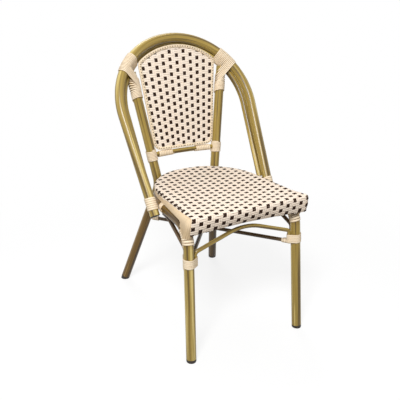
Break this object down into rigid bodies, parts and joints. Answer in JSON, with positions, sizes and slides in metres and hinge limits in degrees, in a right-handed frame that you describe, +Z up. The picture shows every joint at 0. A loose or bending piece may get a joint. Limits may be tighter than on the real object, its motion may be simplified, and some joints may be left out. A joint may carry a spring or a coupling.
{
  "type": "bistro side chair",
  "caption": "Bistro side chair: bent tube frame painted like bamboo, raked hoop back, woven back panel and woven seat, joints bound with cord.",
  "frame": {"origin": "on the floor, under the middle of the chair's bounding box", "axes": "+Z up, -Y the way a sitter faces, +X the sitter's left"},
  "size_m": [0.489, 0.584, 0.8798],
  "materials": {
    "bamboo_paint": "baked paint streaked along the tube in olive gold, tan and brown like bamboo, satin",
    "underside_paint": "the same paint, browner where it is in the shade under the seat, satin",
    "woven_strand": "flat moulded strands, pinkish ivory with dark brown checks, smooth",
    "braided_border": "flat strand braided round the panel's edge, ivory with small brown flecks",
    "binding_cord": "round cream cord, smooth",
    "binding_wrap": "flat cream strand wound tight, smooth",
    "foot_plug": "black-brown moulded plug, matt"
  },
  "bodies": {
    "root": {"seat_frame_tube": "bamboo_paint", "back_leg_right": "bamboo_paint", "back_leg_left": "bamboo_paint", "outer_hoop": "bamboo_paint", "inner_hoop": "bamboo_paint", "front_arch": "bamboo_paint", "panel_rail": "bamboo_paint", "front_rail": "underside_paint", "side_arch_right": "underside_paint", "side_arch_left": "underside_paint", "cross_stretcher_low": "underside_paint", "cross_stretcher_high": "underside_paint", "seat_ring": "underside_paint", "seat_weave": "woven_strand", "back_panel_weave": "woven_strand", "back_panel_rim": "braided_border", "shoulder_winding_right": "binding_cord", "shoulder_winding_left": "binding_cord", "post_top_winding_right": "binding_cord", "post_top_winding_left": "binding_cord", "post_low_winding_right": "binding_cord", "post_low_winding_left": "binding_cord", "hoop_end_winding_right": "binding_cord", "hoop_end_winding_left": "binding_cord", "front_leg_wrap_right": "binding_wrap", "front_leg_wrap_left": "binding_wrap", "knee_sleeve_right": "binding_wrap", "knee_sleeve_left": "binding_wrap", "panel_rail_sleeve_right": "binding_wrap", "panel_rail_sleeve_left": "binding_wrap", "front_glide_right": "foot_plug", "front_glide_left": "foot_plug", "rear_glide_right": "foot_plug", "rear_glide_left": "foot_plug", "hoop_plug_right": "foot_plug", "hoop_plug_left": "foot_plug"}
  },
  "joints": []
}
